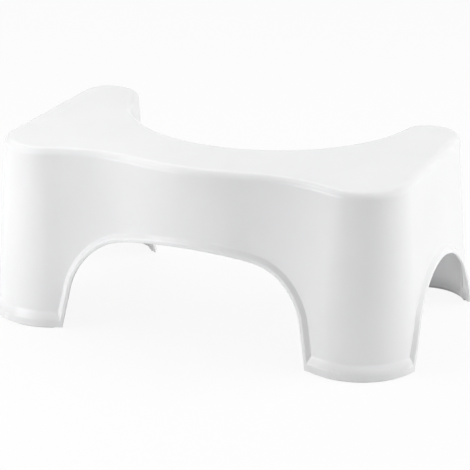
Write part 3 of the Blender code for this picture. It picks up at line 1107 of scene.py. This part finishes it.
@dataclass
class MouldedShell:
    """The one moulding: deck, drafted walls, flared rim, hollow legs and channels in the soles.

    Corners of its section are numbered from the deck over the outer wall to the ceiling.
    """

    edge: FreeEdge = field(default_factory=FreeEdge)
    finish: GlossyPolypropylene = field(default_factory=GlossyPolypropylene)
    thickness: float = 0.0025
    deck: float = 0.003
    deck_edge_radius: float = 0.0065
    inner_edge_radius: float = 0.004
    flat_margin: float = 0.0018
    wall_spacing: tuple[float, ...] = (0.015, 0.08, 0.2, 0.35, 0.5, 0.65, 0.8, 0.92, 0.985)
    short_spacing: tuple[float, ...] = (0.2, 0.8)
    inner_spacing: tuple[float, ...] = (0.03, 0.25, 0.5, 0.75, 0.97)
    mouth_shares: tuple[float, ...] = (0.44, 0.5, 0.62, 0.68)
    corner_steps: tuple[int, ...] = (0, 12, 4, 4, 5, 0, 0, 0, 0, 3, 2, 2, 5, 0)
    corner_wear: tuple[tuple[int, float], ...] = ((1, 0.25), (3, 0.7), (4, 1.0))
    channel_corners: tuple[int, int] = (5, 8)
    foot_change: float = 0.002
    row_pitch: float = 0.001
    sharp_angle: float = radians(30)
    join_distance: float = 0.000005

    def section(self) -> tuple[list[np.ndarray], np.ndarray, np.ndarray]:
        """Rows of the shell from the deck over the wall and the rim to the ceiling.

        Returns:
            Rows of length along, reach and level; how worn each row is; which rows are the channel.
        """
        wall, rim, channel = self.edge.wall, self.edge.rim, self.edge.channel
        outer, into_foot = self.edge.contours(rim.rise)
        inner, _ = self.edge.contours(rim.rise - self.thickness)
        lip_rise = rim.rise - channel.wall - channel.strip_width - channel.gap * 2 - channel.lip
        lipped = np.clip(into_foot / channel.lip_ramp, 0, 1)
        open_below = into_foot >= channel.inset
        inner_rise = rim.rise - self.thickness + (lip_rise - rim.rise + self.thickness) * lipped

        def node(places: Places, rise: Amount, lift: Amount = 0.0) -> np.ndarray:
            """Corner of the section at places, pushed out by a rise and lifted."""
            level = places[1] + lift
            return np.stack([places[0], wall.reach(level, rise), level], -1)

        sharp, full = np.zeros(len(into_foot)), np.ones(len(into_foot))
        top = outer[2][0], wall.height * full
        ceiling = inner[2][0], (wall.height - self.deck) * full
        inset = self.deck_edge_radius + self.flat_margin
        inner_inset = self.inner_edge_radius + self.flat_margin
        sole, lip = node(outer[0], rim.rise), node(inner[0], inner_rise, channel.lip_raise * lipped)
        width = np.where(lipped == 1, lip[:, 1] - sole[:, 1], 1)
        groove = [(rim.rise - channel.wall, lift) for lift in (0.0, channel.depth)]
        groove += [(lip_rise + channel.lip, lift) for lift in (channel.depth, 0.0)]
        mouth = []
        for share, (rise, lift) in zip(self.mouth_shares, groove):
            face = sole + (lip - sole) * share
            across = (wall.reach(0.0, rise) - sole[:, 1]) / width
            held = sole + (lip - sole) * across[:, None]
            held[:, 2] += np.where(open_below, channel.sole + lift - held[:, 2], 0) * (lift > 0)
            mouth.append(np.where((lipped == 1)[:, None], held, face))
        nodes = [
            node(top, -inset),
            node(top, 0.0),
            node(outer[2], 0.0),
            node(outer[1], rim.rise),
            sole,
            *mouth,
            lip,
            node(inner[1], inner_rise),
            node(inner[2], -self.thickness),
            node(ceiling, -self.thickness),
            node(ceiling, -self.thickness - inner_inset),
        ]
        foot = np.clip(into_foot / self.foot_change, 0, 1)
        crease = rim.crease_ease + (rim.foot_crease_ease - rim.crease_ease) * foot
        half = tan(pi / 4 - wall.draft / 2)
        eases = [
            sharp,
            self.deck_edge_radius * half * full,
            crease,
            crease,
            rim.edge_ease * full,
            *[sharp] * len(mouth),
            *[rim.inner_ease * full] * 3,
            self.inner_edge_radius * half * full,
            sharp,
        ]
        near, deep, steps = self.short_spacing, self.inner_spacing, self.corner_steps
        sole_to_lip = [()] * (len(mouth) + 1)
        spacing = [(), self.wall_spacing, near, near, *sole_to_lip, near, near, deep, ()]
        rows = rounded(np.array(nodes), np.array(eases), steps, spacing)
        last = [0]
        for places, turn in zip(spacing, steps[1:]):
            last.append(last[-1] + len(places) + turn + 1)
        worn, grooved = np.zeros(len(rows)), np.zeros(len(rows))
        for corner, amount in self.corner_wear:
            worn[last[corner] - steps[corner] : last[corner] + 1] = amount
        start, end = self.channel_corners
        grooved[last[start] : last[end] + 1] = 1
        return rows, worn, grooved

    def blank(self) -> bpy.types.Mesh:
        """Lay out the flat pattern of the right half.

        Returns:
            A mesh whose attributes say where the wall puts each point.
        """
        rows, worn, grooved = self.section()
        count = len(rows[0])
        table = np.concatenate(rows)
        plan, outward, _ = self.edge.wall.outline.at(table[:, 0])
        level = table[:, 2]
        lines = np.repeat(np.arange(len(rows)) * self.row_pitch, count)
        flat = np.stack([table[:, 0], lines, 0 * level], -1)
        faces = [face[::-1] for face in quads(len(rows), count)]
        faces += [tuple(range(count)), tuple(range(len(table) - 1, len(table) - count - 1, -1))]
        mesh = bpy.data.meshes.new("shell pattern")
        mesh.from_pydata(flat.tolist(), [], faces)
        for name, values in (("plan", plan), ("outward", outward)):
            values = np.concatenate([values, np.zeros((len(table), 1))], 1).ravel()
            mesh.attributes.new(name, "FLOAT_VECTOR", "POINT").data.foreach_set("vector", values)
        numbers = {
            "rise": table[:, 1] - self.edge.wall.reach(level, 0.0),
            "level": level,
            "edge_wear": np.repeat(worn, count),
            "channel": np.repeat(grooved, count),
        }
        for name, values in numbers.items():
            mesh.attributes.new(name, "FLOAT", "POINT").data.foreach_set("value", values)
        return mesh

    def tree(self) -> GrowingTree:
        """Tree that hangs the pattern from the outline with its draft and mirrors it.

        Returns:
            The tree.
        """
        tree = GrowingTree("drafted shell", ("Height", "Draft", "Sharp Angle", "Join Distance"))
        level = tree.attribute("level")
        slope = tree.maths("TANGENT", tree.given("Draft"))
        reach = (tree.given("Height") - level) * slope + tree.attribute("rise")
        outward = tree.scaled(tree.attribute("outward", "FLOAT_VECTOR"), reach)
        place = tree.plus(tree.attribute("plan", "FLOAT_VECTOR"), outward)
        place = tree.plus(place, tree.point(Z=level))
        inputs = {"Geometry": tree.given("Geometry"), "Position": place}
        right = tree.made("GeometryNodeSetPosition", None, inputs)
        inputs = {"Geometry": right, "Scale": (-1, 1, 1)}
        left = tree.made("GeometryNodeTransform", None, inputs)
        left = tree.made("GeometryNodeFlipFaces", None, {"Mesh": left})
        both = tree.made("GeometryNodeJoinGeometry", None, {0: [right, left]})
        inputs = {"Geometry": both, "Distance": tree.given("Join Distance")}
        whole = tree.smooth(tree.made("GeometryNodeMergeByDistance", None, inputs))
        angle = tree.made("GeometryNodeInputMeshEdgeAngle", name="Unsigned Angle")
        steep = tree.maths("GREATER_THAN", angle, tree.given("Sharp Angle"))
        crisp = steep * tree.maths("GREATER_THAN", tree.attribute("channel"), GROOVED)
        inputs = {"Geometry": whole, "Selection": crisp, "Shade Smooth": False}
        tree.close(tree.made("GeometryNodeSetShadeSmooth", {"domain": "EDGE"}, inputs))
        return tree

    def build(self) -> bpy.types.Object:
        """Build the shell and dress it.

        Returns:
            The shell.
        """
        values = {
            "Height": self.edge.wall.height,
            "Draft": self.edge.wall.draft,
            "Sharp Angle": self.sharp_angle,
            "Join Distance": self.join_distance,
            "Material": self.finish.material(),
        }
        shell = self.tree().bake("moulded_shell", self.blank(), values)
        for name in ("plan", "outward", "rise", "level", "channel"):
            shell.data.attributes.remove(shell.data.attributes[name])
        return self.dress(shell)

    def dress(self, shell: bpy.types.Object) -> bpy.types.Object:
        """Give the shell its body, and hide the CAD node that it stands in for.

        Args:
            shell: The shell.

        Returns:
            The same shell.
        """
        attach(shell, "root")
        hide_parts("shell")
        return shell


@dataclass
class DeckRibs:
    """Grid of tapered stiffening ribs under the deck, each with a chamfered root."""

    shell: MouldedShell
    pitch: float = 0.034
    depth: float = 0.014
    root: float = 0.002
    edge: float = 0.0015
    edge_ease: float = 0.0004
    ease_steps: int = 3
    fillet: float = 0.0012
    overlap: float = 0.0006
    lengthwise: int = 6
    crosswise: int = 13
    room_steps: int = 160

    def room(self) -> bpy.types.Object:
        """Fill the space under the deck, up to the middle of the walls and the deck.

        Returns:
            The helper.
        """
        wall, deck = self.shell.edge.wall, self.shell.deck
        radius, inset = self.shell.deck_edge_radius, self.shell.thickness / 2
        along = np.linspace(0, wall.outline.end, self.room_steps)
        rings = []
        for level, rise in (
            (wall.height - deck - self.depth, -inset),
            (wall.height - radius, -inset),
            (wall.height - deck / 2, -radius),
        ):
            right = wall.point(along, np.full(len(along), level), rise)
            ring = np.concatenate([right, right[-2:0:-1] * [-1, 1]])
            rings.append(np.concatenate([ring, np.full((len(ring), 1), level)], 1))
        points, count = np.concatenate(rings), len(rings[0])
        caps = [tuple(range(count - 1, -1, -1)), tuple(range(len(points) - count, len(points)))]
        mesh = bpy.data.meshes.new("rib room")
        mesh.from_pydata(points.tolist(), [], caps + quads(len(rings), count, closed=True))
        return placed("rib room", mesh)

    def bars(
        self, tree: GrowingTree, across: bool, height: Value, root: Value, edge: Value, ease: float
    ) -> Value:
        """Parallel bars with a tapered section, hanging from the ceiling.

        Args:
            tree: Tree that they are added to.
            across: Whether they run from front to back, and not from side to side.
            height: Height of the section.
            root: Width at the ceiling.
            edge: Width at the lower edge.
            ease: Rounding of the lower edge.

        Returns:
            The instances.
        """
        run, step, number = ("Y", "X", "Crosswise") if across else ("X", "Y", "Lengthwise")
        middle = tree.given("Ceiling") + self.overlap - height * 0.5
        ends = [tree.point(**{run: tree.given("Reach") * side, "Z": middle}) for side in (-1, 1)]
        inputs = {"Start": ends[0], "End": ends[1]}
        line = tree.made("GeometryNodeCurvePrimitiveLine", None, inputs)
        inputs = {"Height": height, "Bottom Width": edge, "Top Width": root, "Offset": 0.0}
        section = tree.outlined("TRAPEZOID", inputs)
        if ease:
            section = tree.eased(section, self.ease_steps, ease)
        bar = tree.sweep(line, section)
        count, pitch = tree.given(number), tree.given("Pitch")
        inputs = {
            "Count": count,
            "Start Location": tree.point(**{step: pitch * (count - 1) * -0.5}),
            "Offset": tree.point(**{step: pitch}),
        }
        row = tree.made("GeometryNodeMeshLine", {"mode": "OFFSET"}, inputs)
        return tree.made("GeometryNodeInstanceOnPoints", None, {"Points": row, "Instance": bar})

    def tree(self) -> GrowingTree:
        """Tree that lays out the grid and cuts it to the space under the deck.

        Returns:
            The tree.
        """
        lengths = ("Pitch", "Depth", "Root Width", "Edge Width", "Root Fillet", "Ceiling", "Reach")
        others = {"Lengthwise": "Int", "Crosswise": "Int", "Room": "Object"}
        tree = GrowingTree("rib grid", lengths, others)
        fillet, root, edge = map(tree.given, ("Root Fillet", "Root Width", "Edge Width"))
        sets = []
        for across in (False, True):
            depth = tree.given("Depth") + self.overlap
            chamfer = fillet + self.overlap
            sets.append(self.bars(tree, across, depth, root, edge, self.edge_ease))
            sets.append(self.bars(tree, across, chamfer, root + fillet * 2, root, 0.0))
        grid = tree.made("GeometryNodeJoinGeometry", None, {0: sets})
        real = tree.made("GeometryNodeRealizeInstances", None, {"Geometry": grid})
        inputs = {"Object": tree.given("Room")}
        room = tree.made("GeometryNodeObjectInfo", None, inputs, name="Geometry")
        settings = {"operation": "INTERSECT", "solver": "EXACT"}
        inputs = {"Mesh 2": [real, room], "Self Intersection": True}
        tree.close(tree.made("GeometryNodeMeshBoolean", settings, inputs))
        return tree

    def build(self, material: bpy.types.Material) -> bpy.types.Object:
        """Build the ribs in the shell's plastic.

        Args:
            material: Material of the shell.

        Returns:
            The ribs, riding with the shell.
        """
        wall = self.shell.edge.wall
        room = self.room()
        values = {
            "Pitch": self.pitch,
            "Depth": self.depth,
            "Root Width": self.root,
            "Edge Width": self.edge,
            "Root Fillet": self.fillet,
            "Ceiling": wall.height - self.shell.deck,
            "Reach": wall.outline.length / 2,
            "Lengthwise": self.lengthwise,
            "Crosswise": self.crosswise,
            "Room": room,
            "Material": material,
        }
        ribs = self.tree().bake("deck_ribs", bpy.data.meshes.new("rib start"), values)
        bpy.data.objects.remove(room)
        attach(ribs, "root")
        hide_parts("shell")
        return ribs


class Side(Enum):
    """Side of the stool."""

    LEFT = -1
    RIGHT = 1


class End(Enum):
    """End of the stool, by the number of its foot along the free edge."""

    FRONT = 0
    REAR = 1


@dataclass
class GripStrip:
    """Curved rubber strip pressed into the channel of one foot, standing proud of the sole."""

    edge: FreeEdge
    end: End
    side: Side
    steps: int = 90
    ease_steps: int = 4
    sharp_angle: float = radians(50)

    @property
    def node(self) -> str:
        """Name of the CAD node that the strip stands for."""
        return f"{self.end.name}_{self.side.name}_grip_strip".lower()

    def path(self) -> bpy.types.Mesh:
        """Draw the line through the middle of the strip, along its foot.

        Returns:
            The line, as a mesh of edges.
        """
        wall, channel, rim = self.edge.wall, self.edge.channel, self.edge.rim
        contour, into_foot = self.edge.contours(rim.rise)
        feet = np.flatnonzero(into_foot >= 0)
        gap = np.flatnonzero(np.diff(feet) > 1)[0] + 1
        run = feet[:gap] if self.end is End.FRONT else feet[gap:]
        ends, low = contour[0][0][[run[0] - 1, run[-1] + 1]], np.zeros(2)
        for level, inset in ((channel.sole, channel.inset), (0.0, channel.gap)):
            inward = np.array([inset, -inset])
            ends = wall.moved((ends, np.full(2, level)), inward, low, rim.rise)[0]
        along = np.linspace(ends[0], ends[1], self.steps + 1)
        rise = rim.rise - channel.wall - channel.gap - channel.strip_width / 2
        plan = wall.point(along, np.zeros(len(along)), rise) * [self.side.value, 1]
        middle = np.full((len(plan), 1), channel.strip_height / 2)
        points = np.concatenate([plan, middle], 1)
        mesh = bpy.data.meshes.new("strip path")
        mesh.from_pydata(points.tolist(), [(place, place + 1) for place in range(self.steps)], [])
        return mesh

    def tree(self) -> GrowingTree:
        """Tree that sweeps the strip's section along its path.

        Returns:
            The tree.
        """
        tree = GrowingTree("swept strip", ("Width", "Height", "Ease"))
        line = tree.made("GeometryNodeMeshToCurve", None, {"Mesh": tree.given("Geometry")})
        inputs = {"Width": tree.given("Width"), "Height": tree.given("Height")}
        section = tree.outlined("RECTANGLE", inputs)
        section = tree.eased(section, self.ease_steps, tree.given("Ease"))
        tree.close(tree.smooth(tree.sweep(line, section)))
        return tree

    def build(self, material: bpy.types.Material) -> bpy.types.Object:
        """Build the strip and put it in the place of its CAD node.

        Args:
            material: Material of the strip.

        Returns:
            The strip.
        """
        channel = self.edge.channel
        values = {
            "Width": channel.strip_width,
            "Height": channel.strip_height,
            "Ease": channel.strip_ease,
            "Material": material,
        }
        strip = self.tree().bake(f"pressed_{self.node}", self.path(), values)
        strip.data.set_sharp_from_angle(angle=self.sharp_angle)
        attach(strip, "root")
        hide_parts(self.node)
        return strip


@dataclass(frozen=True)
class Stand:
    """Place round the stool: degrees round from the front and above the floor, and a distance."""

    azimuth: float
    elevation: float
    distance: float

    def hold(self, name: str, data: bpy.types.ID, target: Vector) -> bpy.types.Object:
        """Set up a lamp or a camera in this place.

        Args:
            name: Name of the lamp or camera.
            data: Its data.
            target: Place that it looks at.

        Returns:
            The lamp or camera.
        """
        turn, rise = radians(self.azimuth), radians(self.elevation)
        back = Vector((sin(turn) * cos(rise), -cos(turn) * cos(rise), sin(rise)))
        thing = placed(name, data)
        thing.location = target + back * self.distance
        thing.rotation_mode = "QUATERNION"
        thing.rotation_quaternion = (-back).to_track_quat("-Z", "Y")
        return thing


@dataclass(frozen=True)
class Softbox:
    """Large soft lamp aimed at the stool, out of sight of the camera.

    A lamp that isn't mirrored lights the stool but doesn't show in its gloss.
    """

    name: str
    stand: Stand
    size: tuple[float, float]
    power: float
    mirrored: bool = True

    def build(self, target: Vector) -> bpy.types.Object:
        """Hang the lamp on its stand.

        Args:
            target: Place that the lamp looks at.

        Returns:
            The lamp.
        """
        data = bpy.data.lights.new(self.name, "AREA")
        data.shape = "RECTANGLE"
        data.size, data.size_y = self.size
        data.energy = self.power
        lamp = self.stand.hold(self.name, data, target)
        lamp.visible_camera = False
        lamp.visible_glossy = self.mirrored
        return lamp


@dataclass
class Studio:
    """Pale floor, soft light and the camera at the photograph's viewing angle."""

    target: tuple[float, float, float] = (0.0, -0.0107, 0.075)
    stand: Stand = Stand(23.54, 20.54, 1.913)
    focal_pixels: float = 2041.0
    shift_pixels: float = 8.5
    floor_half: float = 6.0
    floor_steps: int = 8
    ambient: float = 0.31
    softboxes: tuple[Softbox, ...] = (
        Softbox("high key softbox", Stand(-60.0, 45.0, 1.5), (0.8, 0.8), 5.8),
        Softbox("low key softbox", Stand(-40.0, 12.0, 0.9), (0.5, 0.36), 2.15),
        Softbox("side softbox", Stand(105.0, 35.0, 2.0), (1.4, 1.2), 25.0, mirrored=False),
        Softbox("back softbox", Stand(-130.0, 45.0, 2.0), (1.4, 1.4), 7.5),
    )

    def floor(self) -> bpy.types.Object:
        """Lay the floor, a sheet with a grid of points.

        Returns:
            The floor.
        """
        count = self.floor_steps + 1
        steps = np.linspace(-self.floor_half, self.floor_half, count)
        mesh = bpy.data.meshes.new("studio_floor")
        mesh.from_pydata([(x, y, 0.0) for y in steps for x in steps], [], quads(count, count))
        mesh.materials.append(PaleFloor().material())
        floor = placed("studio_floor", mesh)
        return floor

    def surround(self) -> None:
        """Light the scene evenly from all round, and show it as white."""
        world = bpy.data.worlds.new("soft surround")
        world.use_nodes = True
        tree = Tree(world.node_tree)
        tree.nodes.nodes.clear()
        soft, white = (
            tree.made("ShaderNodeBackground", None, {"Color": WHITE, "Strength": strength})
            for strength in (self.ambient, 1.0)
        )
        shown = tree.mixed(tree.seen(), soft, white)
        tree.add("ShaderNodeOutputWorld", None, {"Surface": shown})
        bpy.context.scene.world = world

    def camera(self) -> bpy.types.Object:
        """Place the camera at the photograph's viewing angle.

        Returns:
            The camera.
        """
        data = bpy.data.cameras.new("photograph view")
        data.sensor_width = SENSOR_WIDTH
        data.lens = self.focal_pixels / PHOTO_WIDTH * SENSOR_WIDTH
        data.shift_x = self.shift_pixels / PHOTO_WIDTH
        camera = self.stand.hold("photograph view", data, Vector(self.target))
        bpy.context.scene.camera = camera
        return camera

    def build(self) -> None:
        """Set up the floor, the light and the camera."""
        bpy.context.scene.view_settings.view_transform = "Standard"
        self.floor()
        self.surround()
        for softbox in self.softboxes:
            softbox.build(Vector(self.target))
        self.camera()


def report(piece: bpy.types.Object) -> None:
    """Log a piece's size and its number of faces."""
    size = " x ".join(f"{length * 1000:.1f}" for length in piece.dimensions)
    LOG.info("%s: %s mm, %d faces", piece.name, size, len(piece.data.polygons))


def main() -> None:
    logging.basicConfig(level=logging.INFO, format="%(name)s: %(message)s")
    Studio().build()
    shell = MouldedShell()
    moulding = shell.build()
    report(moulding)
    report(DeckRibs(shell).build(moulding.data.materials[0]))
    rubber = MattRubber().material()
    for end in End:
        for side in Side:
            report(GripStrip(shell.edge, end, side).build(rubber))


if __name__ == "__main__":
    main()
